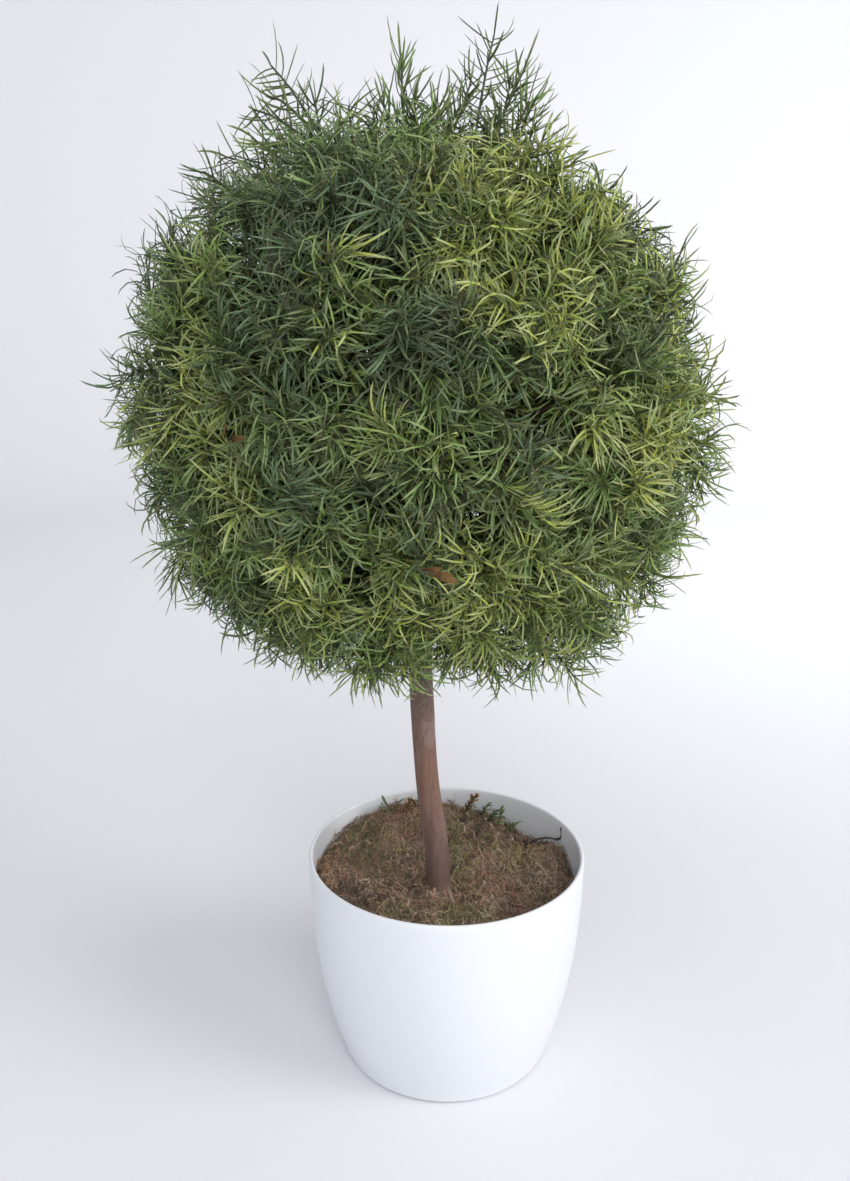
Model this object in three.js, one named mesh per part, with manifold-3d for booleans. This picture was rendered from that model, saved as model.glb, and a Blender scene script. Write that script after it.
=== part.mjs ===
// Artificial ball tree on a single stem, in a white pot dressed with dried moss.
// Millimetres, +Z up. The origin is the centre of the pot's flat underside, and -Y is the front.

import * as THREE from 'three';
import { mergeVertices } from 'three/addons/utils/BufferGeometryUtils.js';
import Module from 'manifold-3d';

const wasm = await Module();
wasm.setup();

// ---- Driving dimensions ----

const GAP = 0.3; // clearance between neighbouring pieces
const SLACK = 0.8; // clearance between the pot's inner wall and what it holds

// Pot: a thin cup whose side falls in slowly at the lip and fast at the foot.
const POT = {
  height: 110,
  rimRadius: 70,
  draft: 1.2, // how far the side falls in evenly from rim to foot
  belly: 15.7, // how much further the curve brings it in at the foot
  bellyPower: 2.5,
  heel: 3, // rounding between the side and the underside
  wall: 2,
  floor: 3,
  inset: 4, // rounding inside, between wall and floor
  rows: 8, // bands of facets up each face
  sides: 36,
};

const FILL_TOP = 62; // the set filling that grips the stem reaches this height in the pot

// Moss: a pad that lies at one level, falls a little to the right, and is heaped and hollowed out.
const MOSS = {
  level: 91.5,
  fall: 4, // how far the right-hand edge lies below the middle, and the left-hand one above it
  heaps: [
    { rise: 19, at: [-7, 40], spread: [43, 26] }, // the ridge behind the stem
    { rise: 10, at: [56, 22], spread: [11, 11] }, // the tuft by the right-hand wall
    { rise: -5, at: [48, 44], spread: [13, 12] }, // the hollow between the two
    { rise: -6, at: [-4, -6], spread: [19, 19] }, // the dip at the stem's foot
  ],
  edge: 84, // the pad is as wide as the pot is inside at this height
  lump: 1.4,
  rings: 8,
};

// Stem: centre line from the foot in the filling to the tip inside the ball, and its radii.
const STEM = {
  path: [[-4, -6, 34], [-4.2, -6, 96], [-5.2, -5.4, 114], [-9.9, -4, 152], [-12.3, -2, 192],
    [-14.3, 0, 260], [-14.3, 0, 344]],
  footRadius: 6.6,
  radius: 6.1,
  tipRadius: 5.2,
  flareHeight: 0.2, // share of the length over which the foot widens
  sides: 14,
  rings: 24,
};

// Ball of foliage round the stem's upper end. Each mass swells between the grooves that part it
// from its neighbours. Sides run anticlockwise, seen from above, from the tier's first bearing.
const BALL = {
  centre: [-14.3, 0, 331],
  groove: 6, // how far the surface sinks between two masses
  grooveAngle: 0.42, // radians from a mass's middle to its groove
  deepest: 1.25, // how far past the groove angle the surface still sinks
  blend: 0.3, // radians over which the reach of one mass runs into its neighbour's
  ripple: 2,
  detail: 9,
};
// Each mass has its side, its reach from the ball's centre and how far it is lifted, in degrees.
const TIERS = [
  {
    tier: 'low', elevation: -50, first: 262,
    masses: [['front', 135, 2], ['right', 140, 5], ['back_right', 136, -4], ['back_left', 134, 5],
      ['left', 136, -2]],
  },
  {
    tier: 'middle', elevation: -6, first: 301,
    masses: [['front_right', 137, 3], ['right', 138, -5], ['back_right', 134, 4], ['back', 136, -6],
      ['back_left', 135, 5], ['left', 139, -3], ['front_left', 136, -5]],
  },
  {
    tier: 'high', elevation: 38, first: 312,
    masses: [['front_right', 135, -5], ['right', 134, 4], ['back', 134, -4], ['left', 138, 5],
      ['front_left', 137, 0]],
  },
  { tier: 'top', elevation: 82, first: 60, masses: [['crown', 134, 0]] },
];

// Spires of younger growth that stand out of the top of the ball: root, tip and half widths.
const SPIRES = [
  { name: 'spire_left', root: [-58.3, 8, 412], tip: [-80.3, 12, 486], width: [28, 20], shoulder: 1.1 },
  { name: 'spire_middle', root: [-22.3, 12, 436], tip: [-22.3, 14, 491], width: [14, 13], shoulder: 0.8 },
  { name: 'spire_right', root: [16.7, 8, 430], tip: [23.7, 14, 501], width: [25, 18], shoulder: 0.95 },
];
const PLUME = {
  fullness: 0.75, // under 1 the plume is fuller than a sine curve
  slim: 0.35, // share of its width that it loses towards the tip
  fray: 0.16, // depth of the ridges round it, as a share of its width
  ridges: 7,
  detail: 3,
};

const MATERIALS = {
  pot: new THREE.MeshStandardMaterial({ color: 0xf3f5f8, roughness: 0.4, metalness: 0 }),
  fill: new THREE.MeshStandardMaterial({ color: 0x9b9488, roughness: 0.9, metalness: 0 }),
  moss: new THREE.MeshStandardMaterial({ color: 0x6a5a40, roughness: 1, metalness: 0 }),
  stem: new THREE.MeshStandardMaterial({ color: 0x74584c, roughness: 0.75, metalness: 0 }),
  low: new THREE.MeshStandardMaterial({ color: 0x5c6f35, roughness: 0.6, metalness: 0 }),
  middle: new THREE.MeshStandardMaterial({ color: 0x4d6334, roughness: 0.6, metalness: 0 }),
  high: new THREE.MeshStandardMaterial({ color: 0x68793a, roughness: 0.6, metalness: 0 }),
  top: new THREE.MeshStandardMaterial({ color: 0x566a38, roughness: 0.6, metalness: 0 }),
  spire: new THREE.MeshStandardMaterial({ color: 0x3a4c34, roughness: 0.6, metalness: 0 }),
};

// ---- Working with solids ----

// Welds a geometry into one closed skin of positions only.
function weld(geometry) {
  geometry.deleteAttribute('normal');
  geometry.deleteAttribute('uv');
  return mergeVertices(geometry, 1e-3);
}

function solid(geometry) {
  const skin = weld(geometry);
  return new wasm.Manifold(new wasm.Mesh({
    numProp: 3,
    vertProperties: skin.attributes.position.array,
    triVerts: new Uint32Array(skin.index.array),
  }));
}

function geometryOf(cutSolid) {
  const { vertProperties, triVerts } = cutSolid.getMesh();
  const geometry = new THREE.BufferGeometry();
  geometry.setAttribute('position', new THREE.BufferAttribute(vertProperties, 3));
  geometry.setIndex(new THREE.BufferAttribute(triVerts, 1));
  geometry.computeVertexNormals();
  return geometry;
}

function piece(name, geometry, material) {
  const mesh = new THREE.Mesh(geometry, material);
  mesh.name = name;
  return mesh;
}

// Moves every point of a geometry by a rule that takes and gives a vector.
function reshape(geometry, rule) {
  const position = geometry.attributes.position;
  const point = new THREE.Vector3();
  for (let i = 0; i < position.count; i += 1) {
    point.fromBufferAttribute(position, i);
    rule(point);
    position.setXYZ(i, point.x, point.y, point.z);
  }
  return geometry;
}

// A profile of [radius, height] pairs turned about the upright axis.
function turned(profile, sides) {
  const points = profile.map(([radius, height]) => new THREE.Vector2(radius, height));
  return new THREE.LatheGeometry(points, sides).rotateX(Math.PI / 2);
}

const lerp = THREE.MathUtils.lerp;
const radians = THREE.MathUtils.degToRad;

// ---- Pot ----

function potRadius(height) {
  const down = (POT.height - height) / POT.height;
  return POT.rimRadius - POT.draft * down - POT.belly * down ** POT.bellyPower;
}

// How far a quarter-round corner of a given size brings a wall in, at a height above its start.
function cornerInset(height, size) {
  const up = Math.min(height / size, 1);
  return size * (1 - Math.sqrt(1 - (1 - up) ** 2));
}

// Heights from low to high, closer together near the low end.
function heights(low, high, count) {
  return Array.from({ length: count + 1 }, (_, i) => lerp(low, high, (i / count) ** 1.8));
}

function potGeometry() {
  const lip = POT.wall / 2;
  const outer = heights(0, POT.height - lip, POT.rows)
    .map((z) => [potRadius(z) - cornerInset(z, POT.heel), z]);
  const inner = heights(POT.floor, POT.height - lip, POT.rows)
    .map((z) => [potRadius(z) - POT.wall - cornerInset(z - POT.floor, POT.inset), z])
    .reverse();
  const crown = [135, 90, 45].map((angle) => [
    POT.rimRadius - lip - lip * Math.cos(radians(angle)),
    POT.height - lip + lip * Math.sin(radians(angle)),
  ]);
  return turned([[0, 0], ...outer, ...crown, ...inner, [0, POT.floor]], POT.sides);
}

// ---- Filling and moss ----

function fillGeometry() {
  const side = heights(POT.floor + GAP, FILL_TOP, POT.rows / 2)
    .map((z) => [potRadius(z) - POT.wall - SLACK - cornerInset(z - POT.floor - GAP, POT.inset), z]);
  return turned([[0, POT.floor + GAP], ...side, [0, FILL_TOP]], POT.sides);
}

// A smooth bump of height 1 at its middle, seen from above.
function bump(x, y, [midX, midY], [spreadX, spreadY]) {
  return Math.exp(-(((x - midX) / spreadX) ** 2) - ((y - midY) / spreadY) ** 2);
}

// Height of the moss at a point seen from above.
function mossHeight(x, y) {
  const heaped = MOSS.heaps.reduce((sum, { rise, at, spread }) => sum + rise * bump(x, y, at, spread), 0);
  const lumps = Math.sin(x * 0.21 + 1) * Math.cos(y * 0.24) + 0.6 * Math.sin(x * 0.43 - y * 0.37);
  return MOSS.level + heaped - MOSS.fall * (x / POT.rimRadius) + MOSS.lump * lumps;
}

function mossGeometry() {
  const bottom = FILL_TOP + GAP;
  const edge = (height) => potRadius(height) - POT.wall - SLACK;
  const top = Array.from({ length: MOSS.rings + 1 }, (_, i) => (
    [edge(MOSS.edge) * (1 - i / MOSS.rings), MOSS.level]));
  return reshape(turned([[0, bottom], [edge(bottom), bottom], ...top], POT.sides), (point) => {
    if (point.z < MOSS.level) return;
    point.z = mossHeight(point.x, point.y);
  });
}

// ---- Stem ----

const stemLine = new THREE.CatmullRomCurve3(STEM.path.map((p) => new THREE.Vector3(...p)));

function stemRadius(along) {
  const flare = Math.max(0, 1 - along / STEM.flareHeight) ** 2;
  return lerp(STEM.radius, STEM.tipRadius, along ** 2) + (STEM.footRadius - STEM.radius) * flare;
}

// The stem is an upright cylinder bent along its line; grow widens and lengthens it for a clearance.
function stemGeometry(grow) {
  const { sides, rings } = STEM;
  const rod = new THREE.CylinderGeometry(1, 1, 1, sides, rings).rotateX(Math.PI / 2);
  return reshape(rod, (point) => {
    const along = THREE.MathUtils.clamp(point.z + 0.5, 0, 1);
    const centre = stemLine.getPoint(along);
    const radius = stemRadius(along) + grow;
    const end = (along === 1) - (along === 0); // 1 at the cut tip and -1 at the cut foot
    point.set(centre.x + point.x * radius, centre.y + point.y * radius, centre.z + end * grow);
  });
}

// ---- Foliage ----

const ballCentre = new THREE.Vector3(...BALL.centre);

function bearing(azimuth, elevation) {
  const flat = Math.cos(radians(elevation));
  return new THREE.Vector3(
    flat * Math.cos(radians(azimuth)),
    flat * Math.sin(radians(azimuth)),
    Math.sin(radians(elevation)),
  );
}

// The masses of one tier, spaced evenly round it.
function tierMasses({ tier, elevation, first, masses: list }) {
  return list.map(([side, reach, lift], i) => ({
    name: tier === 'top' ? `foliage_${side}` : `foliage_${tier}_${side}`,
    tier,
    reach,
    towards: bearing(first + (360 / list.length) * i, elevation + lift),
  }));
}

const masses = TIERS.flatMap(tierMasses);

// How far the foliage reaches from the ball's centre in a direction: the nearest mass swells there.
function foliageReach(direction) {
  const angles = masses.map(({ towards }) => towards.angleTo(direction));
  const weights = angles.map((angle) => Math.exp(-((angle / BALL.blend) ** 2)));
  const total = weights.reduce((sum, weight) => sum + weight);
  const reach = masses.reduce((sum, mass, i) => sum + mass.reach * weights[i], 0) / total;
  const off = Math.min(Math.min(...angles) / BALL.grooveAngle, BALL.deepest);
  const { x, y, z } = direction;
  const ripple = Math.sin(9 * x + 4 * z) * Math.cos(8 * y - 3 * x) + 0.7 * Math.sin(17 * y + 11 * z);
  return reach - BALL.groove * off ** 2 + BALL.ripple * ripple;
}

function ballGeometry(grow) {
  return reshape(new THREE.IcosahedronGeometry(1, BALL.detail), (point) => {
    point.normalize().multiplyScalar(foliageReach(point) + grow).add(ballCentre);
  });
}

// A block that fills everything on one side of a plane, for cutting.
function halfSpace(onPlane, normal) {
  const size = 600;
  const block = new THREE.BoxGeometry(size, size, size).translate(0, 0, size / 2);
  block.applyQuaternion(new THREE.Quaternion().setFromUnitVectors(new THREE.Vector3(0, 0, 1), normal));
  return solid(block.translate(onPlane.x, onPlane.y, onPlane.z));
}

// One mass is what is left of the ball once the side of each neighbour is cut away.
function massSolid(ball, mass) {
  return masses.filter((other) => other !== mass).reduce((left, other) => {
    const normal = other.towards.clone().sub(mass.towards).normalize();
    const face = ballCentre.clone().addScaledVector(normal, -GAP / 2);
    return left.subtract(halfSpace(face, normal));
  }, ball);
}

// A spire is a plume that is widest at its shoulder and runs out to a leaning tip.
function spireGeometry({ root, tip, width, shoulder }) {
  const from = new THREE.Vector3(...root);
  const along = new THREE.Vector3(...tip).sub(from);
  return reshape(new THREE.IcosahedronGeometry(1, PLUME.detail), (point) => {
    const t = (point.z + 1) / 2;
    const round = Math.sqrt(Math.max(1 - point.z ** 2, 1e-9));
    const swell = Math.sin(Math.PI * t ** shoulder) ** PLUME.fullness * (1 - PLUME.slim * t);
    const fray = 1 + PLUME.fray * Math.sin(PLUME.ridges * Math.atan2(point.y, point.x) + 6 * t);
    point.set(point.x / round, point.y / round, 0).multiplyScalar(swell * fray);
    point.set(point.x * width[0], point.y * width[1], 0).add(from).addScaledVector(along, t);
  });
}

// ---- Assembly ----

const stem = solid(stemGeometry(0));
const stemRoom = solid(stemGeometry(GAP));
const ball = solid(ballGeometry(0)).subtract(stemRoom);
const ballRoom = solid(ballGeometry(GAP));

const tree = new THREE.Group();
tree.add(piece('pot', potGeometry(), MATERIALS.pot));
tree.add(piece('pot_fill', geometryOf(solid(fillGeometry()).subtract(stemRoom)), MATERIALS.fill));
tree.add(piece('moss', geometryOf(solid(mossGeometry()).subtract(stemRoom)), MATERIALS.moss));
tree.add(piece('stem', geometryOf(stem), MATERIALS.stem));
for (const mass of masses) {
  tree.add(piece(mass.name, geometryOf(massSolid(ball, mass)), MATERIALS[mass.tier]));
}
for (const spire of SPIRES) {
  const cut = solid(spireGeometry(spire)).subtract(ballRoom);
  tree.add(piece(spire.name, geometryOf(cut), MATERIALS.spire));
}

export default tree;
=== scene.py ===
from math import cos, pi, radians, sin, tau

import bmesh
import bpy
import numpy as np
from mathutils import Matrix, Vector, noise
from mathutils.bvhtree import BVHTree


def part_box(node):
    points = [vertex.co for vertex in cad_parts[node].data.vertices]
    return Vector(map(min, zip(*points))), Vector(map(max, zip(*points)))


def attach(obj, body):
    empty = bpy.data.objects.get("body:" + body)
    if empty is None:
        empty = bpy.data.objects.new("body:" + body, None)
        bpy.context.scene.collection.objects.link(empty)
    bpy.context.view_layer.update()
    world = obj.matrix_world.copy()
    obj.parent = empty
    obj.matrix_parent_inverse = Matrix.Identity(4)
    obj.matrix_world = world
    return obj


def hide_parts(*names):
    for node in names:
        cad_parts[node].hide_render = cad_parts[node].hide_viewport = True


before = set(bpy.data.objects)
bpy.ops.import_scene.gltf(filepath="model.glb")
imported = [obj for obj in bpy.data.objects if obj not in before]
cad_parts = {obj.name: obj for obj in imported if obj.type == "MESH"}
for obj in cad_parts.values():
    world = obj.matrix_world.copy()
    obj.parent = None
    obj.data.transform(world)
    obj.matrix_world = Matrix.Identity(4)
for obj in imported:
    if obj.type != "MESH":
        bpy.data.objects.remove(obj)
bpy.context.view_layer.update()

# The pot: a thin white plastic cup, moulded in one go, with a soft round lip, a side that curves
# in towards the foot and a flat underside that it stands on.

MM = 0.001
pot_low, pot_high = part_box("pot")
POT_RADIUS = (pot_high.x - pot_low.x) / 2
POT_HEIGHT = pot_high.z
POT_WALL = 2 * MM
POT_FLOOR = 3 * MM
POT_DRAFT = 0.0171  # share of the rim's radius by which the side falls in evenly
POT_BELLY = 0.2243  # share by which the curve brings it in at the foot
POT_BELLY_POWER = 2.5
POT_HEEL = 3 * MM  # rounding between side and underside
POT_LIP = 0.9 * MM  # rounding of the lip
POT_SIDES = 144
POT_ROWS = 40
HEEL_STEPS = 7
LIP_STEPS = 9


def pot_radius(height):
    """The pot's outer radius at a height."""
    depth = max(0, 1 - height / POT_HEIGHT)
    return POT_RADIUS * (1 - POT_DRAFT * depth - POT_BELLY * depth**POT_BELLY_POWER)


def mesh_object(name, points, faces, materials, tones=None):
    """An object from plain arrays: its points, its faces by number of corners and each face's tone."""
    mesh = bpy.data.meshes.new(name)
    corners = np.concatenate([np.ravel(block) for block in faces]).astype(np.int32)
    sizes = np.concatenate([np.full(len(block), block.shape[1]) for block in faces])
    mesh.vertices.add(len(points))
    mesh.vertices.foreach_set("co", np.ravel(points).astype(np.float32))
    mesh.loops.add(len(corners))
    mesh.loops.foreach_set("vertex_index", corners)
    mesh.polygons.add(len(sizes))
    mesh.polygons.foreach_set("loop_start", (np.cumsum(sizes) - sizes).astype(np.int32))
    for material in materials:
        mesh.materials.append(material)
    if tones is not None:
        mesh.polygons.foreach_set("material_index", np.ravel(tones).astype(np.int32))
    mesh.polygons.foreach_set("use_smooth", np.full(len(sizes), True))
    mesh.update(calc_edges=True)
    thing = bpy.data.objects.new(name, mesh)
    bpy.context.scene.collection.objects.link(thing)
    return thing


def mesh_piece(name, points, faces, materials, tones=None):
    """One piece of the tree. It has no joints, so all its pieces ride on the same body."""
    piece = mesh_object(name, points, faces, materials, tones)
    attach(piece, "root")
    return piece


def ring_faces(rows, sides):
    """Quads between rows of points that each close on themselves."""
    row, side = np.meshgrid(np.arange(rows - 1), np.arange(sides), indexing="ij")
    here = row * sides + side
    along = row * sides + (side + 1) % sides
    return np.stack([here, along, along + sides, here + sides], axis=-1).reshape(-1, 4)


def turned(outline, sides):
    """Points of a turned shape, from the radius and height of each point of its outline."""
    turn = np.linspace(0, tau, sides, endpoint=False)
    return np.stack([
        np.outer(outline[:, 0], np.cos(turn)),
        np.outer(outline[:, 0], np.sin(turn)),
        np.repeat(outline[:, 1:], sides, axis=1),
    ], axis=-1).reshape(-1, 3)


def weld(piece):
    """Joins points that lie on each other, as in the middle of a turned shape."""
    shape = bmesh.new()
    shape.from_mesh(piece.data)
    bmesh.ops.remove_doubles(shape, verts=shape.verts, dist=0.01 * MM)
    shape.to_mesh(piece.data)
    shape.free()


def pot_outline():
    """Radius and height of the cup's section, from the middle underneath round the lip to the inside."""
    heel = np.linspace(0, pi / 2, HEEL_STEPS)
    foot = pot_radius(POT_HEEL) - POT_HEEL
    outline = [(0, 0), (foot / 2, 0)]
    outline += [(foot + POT_HEEL * sin(a), POT_HEEL * (1 - cos(a))) for a in heel]
    heights = np.linspace(POT_HEEL, POT_HEIGHT - POT_LIP, POT_ROWS)[1:]
    outline += [(pot_radius(height), height) for height in heights]
    rim = pot_radius(POT_HEIGHT - POT_LIP)
    for angle in np.linspace(0, pi, LIP_STEPS)[1:-1]:
        across = (POT_WALL / 2) * (1 - cos(angle))
        outline.append((rim - across, POT_HEIGHT - POT_LIP + POT_LIP * sin(angle)))
    heights = [height for height in heights[::-1] if height > 2 * POT_FLOOR]
    outline += [(pot_radius(height) - POT_WALL, height) for height in heights]
    inside = pot_radius(2 * POT_FLOOR) - POT_WALL
    outline += [(inside - POT_FLOOR * (1 - cos(a)), POT_FLOOR * (2 - sin(a))) for a in heel[1:]]
    outline += [(inside / 2, POT_FLOOR), (0, POT_FLOOR)]
    return np.array(outline)


class Shade:
    """A socket in a material's nodes: sums on it add Math nodes, and node() adds any other node."""

    def __init__(self, tree, socket=None):
        self.tree = tree
        self.socket = socket

    def node(self, kind, settings=None, sockets=None, output=0):
        made = self.tree.nodes.new(kind)
        for name, value in (settings or {}).items():
            setattr(made, name, value)
        for name, value in (sockets or {}).items():
            if isinstance(value, Shade):
                self.tree.links.new(value.socket, made.inputs[name])
            else:
                made.inputs[name].default_value = value
        return Shade(self.tree, made.outputs[output] if made.outputs else None)

    def math(self, operation, first, second):
        return self.node("ShaderNodeMath", {"operation": operation}, {0: first, 1: second})

    def __add__(self, other):
        return self.math("ADD", self, other)

    def __radd__(self, other):
        return self.math("ADD", other, self)

    def __mul__(self, other):
        return self.math("MULTIPLY", self, other)

    def __rmul__(self, other):
        return self.math("MULTIPLY", other, self)

    def between(self, low, high):
        """A colour from low to high, as this value goes from 0 to 1."""
        settings = {"data_type": "RGBA", "clamp_factor": True}
        colours = [c if isinstance(c, Shade) else (*c, 1) for c in (low, high)]
        return self.node("ShaderNodeMix", settings, {0: self, 6: colours[0], 7: colours[1]}, output=2)

    def step(self, low, high):
        """0 below low and 1 above high, with a soft step between them."""
        settings = {"interpolation_type": "SMOOTHSTEP"}
        return self.node("ShaderNodeMapRange", settings, {"Value": self, "From Min": low, "From Max": high})

    def grain(self, scale, detail=3.0, stretch=(1, 1, 1)):
        """Noise at so many spots to the metre, drawn out along an axis where its stretch is under 1."""
        place = self.node("ShaderNodeTexCoord", output="Object")
        place = self.node("ShaderNodeVectorMath", {"operation": "MULTIPLY"}, {0: place, 1: stretch})
        return self.node("ShaderNodeTexNoise", {}, {"Vector": place, "Scale": scale, "Detail": detail})

    def height(self):
        """Height above the underside of the pot, in metres."""
        place = self.node("ShaderNodeTexCoord", output="Object")
        return self.node("ShaderNodeSeparateXYZ", {}, {0: place}, output=2)

    def relief(self, distance, strength=1.0):
        """A normal that follows this value as a height."""
        return self.node("ShaderNodeBump", {}, {"Height": self, "Distance": distance, "Strength": strength})


def finish_with(name, sockets, make=None):
    """A material: constant values for its shader's sockets, and make(shade) for those that vary."""
    material = bpy.data.materials.new(name)
    material.use_nodes = True
    material.node_tree.nodes.clear()
    shade = Shade(material.node_tree)
    varying = make(shade) if make else {}
    shader = shade.node("ShaderNodeBsdfPrincipled", {}, {**sockets, **varying})
    shade.node("ShaderNodeOutputMaterial", {}, {"Surface": shader})
    return material


def white_plastic(shade):
    """Even white, a shade cooler in broad soft clouds, with the faint ripple of a moulded skin."""
    cloud = shade.grain(18)
    skin = shade.grain(420, detail=2)
    return {
        "Base Color": cloud.between((0.73, 0.755, 0.79), (0.77, 0.785, 0.81)),
        "Roughness": 0.30 + 0.10 * cloud,
        "Normal": skin.relief(0.05 * MM, 0.35),
    }


outline = pot_outline()
plastic = finish_with("white_plastic", {"IOR": 1.49}, white_plastic)
cup = mesh_piece("cup", turned(outline, POT_SIDES), [ring_faces(len(outline), POT_SIDES)], [plastic])
weld(cup)
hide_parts("pot")

# The filling: grey set plaster poured into the pot, which grips the foot of the stem and weighs
# the tree down. The moss hides all of it.


def set_plaster(shade):
    """Grey and speckled, with small pits."""
    speck = shade.grain(260, detail=5)
    return {
        "Base Color": speck.between((0.22, 0.21, 0.19), (0.42, 0.40, 0.37)),
        "Roughness": 0.80 + 0.15 * speck,
        "Normal": speck.relief(0.4 * MM, 0.6),
    }


plaster = finish_with("set_plaster", {}, set_plaster)
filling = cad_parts["pot_fill"]
filling.data.materials.clear()
filling.data.materials.append(plaster)

# The stem: a straight-grained branch with its bark on, about as thick as a finger, which leans a
# little to the left. Its foot is set in the filling and its upper end carries the ball's boughs.

STEM_SIDES = 40
STEM_RINGS = 220
STEM_INSET = 0.05 * MM  # from each end of the solid to the first ring
# The uneven surface: how high in mm, how fine round the stem and along it, and where the noise starts.
STEM_RELIEF = [(0.16, 5, 45, 0), (0.32, 1.3, 28, 9), (0.07, 14, 160, 5)]
FAR = 0.4  # in metres, further from the tree's middle than any part of it
stem_low, stem_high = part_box("stem")


def tree_of(*names):
    """A search tree over the faces of these nodes, and the node that each face belongs to."""
    points, faces, owners = [], [], []
    for name in names:
        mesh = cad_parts[name].data
        first = len(points)
        points += [vertex.co.copy() for vertex in mesh.vertices]
        faces += [[first + corner for corner in face.vertices] for face in mesh.polygons]
        owners += [name] * len(mesh.polygons)
    return BVHTree.FromPolygons(points, faces), owners


stem_tree, _ = tree_of("stem")


def stem_section(height):
    """The middle and the radius of the stem at a height, from rays that meet it on four sides."""
    middle = Vector(((stem_low.x + stem_high.x) / 2, (stem_low.y + stem_high.y) / 2, height))
    for _ in range(3):
        for axis in (Vector((1, 0, 0)), Vector((0, 1, 0))):
            near = stem_tree.ray_cast(middle - axis * FAR, axis)[0]
            far = stem_tree.ray_cast(middle + axis * FAR, -axis)[0]
            middle += axis * ((near + far) / 2 - middle).dot(axis)
            radius = (far - near).length / 2
    return middle, radius


def stem_points():
    """Rings up the stem, with shallow furrows along it and broad swellings."""
    rings = []
    for height in np.linspace(stem_low.z + STEM_INSET, stem_high.z - STEM_INSET, STEM_RINGS):
        middle, radius = stem_section(height)
        for angle in np.linspace(0, tau, STEM_SIDES, endpoint=False):
            out = Vector((cos(angle), sin(angle), 0))
            relief = 0
            for high, across, along, start in STEM_RELIEF:
                spot = Vector((out.x * across, out.y * across, height * along + start))
                relief += high * noise.noise(spot)
            rings.append(middle + out * (radius + relief * MM))
    return np.array(rings)


def bark(shade):
    """Brown bark: purplish low down, warm half way up and dull above, with grey patches and dark flecks."""
    height = shade.height()
    streak = shade.grain(420, detail=4, stretch=(1, 1, 0.09))
    patch = shade.grain(60, detail=3, stretch=(1, 1, 0.45))
    fleck = shade.grain(900, detail=2, stretch=(1, 1, 0.3))
    low = streak.between((0.076, 0.042, 0.034), (0.208, 0.130, 0.112))
    warm = streak.between((0.092, 0.045, 0.029), (0.258, 0.140, 0.096))
    colour = height.step(0.105, 0.150).between(low, warm)
    dull = streak.between((0.085, 0.049, 0.041), (0.236, 0.148, 0.131))
    colour = height.step(0.165, 0.200).between(colour, dull)
    grey = patch.step(0.52, 0.66) * (0.35 + 0.4 * height.step(0.14, 0.19))
    colour = grey.between(colour, (0.290, 0.205, 0.190))
    colour = (fleck.step(0.58, 0.70) * 0.6).between(colour, (0.060, 0.038, 0.030))
    return {
        "Base Color": colour,
        "Roughness": 0.58 + 0.22 * streak,
        "Normal": (streak + 0.5 * fleck).relief(0.30 * MM, 0.8),
    }


bark_finish = finish_with("bark", {}, bark)
stem_ring = np.arange(STEM_SIDES)[None, :]
stem_caps = [stem_ring[:, ::-1], stem_ring + (STEM_RINGS - 1) * STEM_SIDES]
stem_faces = [ring_faces(STEM_RINGS, STEM_SIDES), *stem_caps]
trunk = mesh_piece("trunk", stem_points(), stem_faces, [bark_finish])
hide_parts("stem")

# The moss: a pad of dried forest moss heaped over the filling and tucked round the stem. It is brown
# and matted, with olive and rust-coloured cushions.

MOSS_RINGS = 84
MOSS_SIDES = 200
MOSS_LUMP = 1.9 * MM
MOSS_HUG = 5.6 * MM  # from the stem's middle to the pad's inner edge, just inside the bark
MOSS_DEPTH = 11 * MM  # how much narrower the pad is underneath than at its rim
MOSS_COLLAR = 3.5 * MM  # how much higher it stands against the stem
MOSS_TURN = 2.2 * MM  # how far its edge turns down by the wall
moss_low, moss_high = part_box("moss")
moss_rim = moss_high.z - 10 * MM  # about where the pad meets the wall
moss_tree, _ = tree_of("moss")
stem_at_moss, _ = stem_section(moss_high.z - 20 * MM)


def moss_top(x, y):
    """Height of the pad's upper face. Past its edge it falls from the height met further in."""
    for pull in (0, 0.02, 0.05, 0.09, 0.15, 0.25):
        toward = 1 - pull
        hit = moss_tree.ray_cast(Vector((x * toward, y * toward, FAR)), Vector((0, 0, -1)))[0]
        if hit and hit.z > moss_low.z + 15 * MM:
            return hit.z - 28 * MM * pull
    return moss_tree.find_nearest(Vector((x, y, moss_high.z)))[0].z


def moss_lumps(x, y):
    """The tufts of the matted surface: broad cushions with a fine crumbly skin."""
    cushion = 1 - abs(noise.noise(Vector((x * 85, y * 85, 3)))) * 2
    crumb = noise.noise(Vector((x * 260, y * 260, 8)))
    grit = noise.noise(Vector((x * 700, y * 700, 2)))
    return MOSS_LUMP * (0.75 * cushion + 0.5 * crumb + 0.25 * grit - 0.4)


def moss_height(x, y):
    """Height of the finished surface: it rises in a collar where it is pressed against the stem."""
    gap = np.hypot(x - stem_at_moss.x, y - stem_at_moss.y) - 7 * MM
    return moss_top(x, y) + moss_lumps(x, y) + MOSS_COLLAR * np.exp(-((gap / (4 * MM)) ** 2))


def pot_inside(height):
    """How far from the pot's middle the moss can reach at a height."""
    return pot_radius(height) - POT_WALL - 0.25 * MM


def moss_edge(angle):
    """How far the pot's wall is from the stem's middle in a direction."""
    reach = pot_inside(moss_rim)
    x, y = stem_at_moss.x, stem_at_moss.y
    along = x * cos(angle) + y * sin(angle)
    return -along + (along**2 - (x * x + y * y) + reach**2) ** 0.5


def moss_row(share, inset, height):
    """A row round the stem, at a share of the way out to the wall less an inset, at height(x, y)."""
    row = []
    for angle in np.linspace(0, tau, MOSS_SIDES, endpoint=False):
        out = MOSS_HUG + (moss_edge(angle) - inset - MOSS_HUG) * share
        x = stem_at_moss.x + out * cos(angle)
        y = stem_at_moss.y + out * sin(angle)
        row.append((x, y, height(x, y)))
    return row


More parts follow.
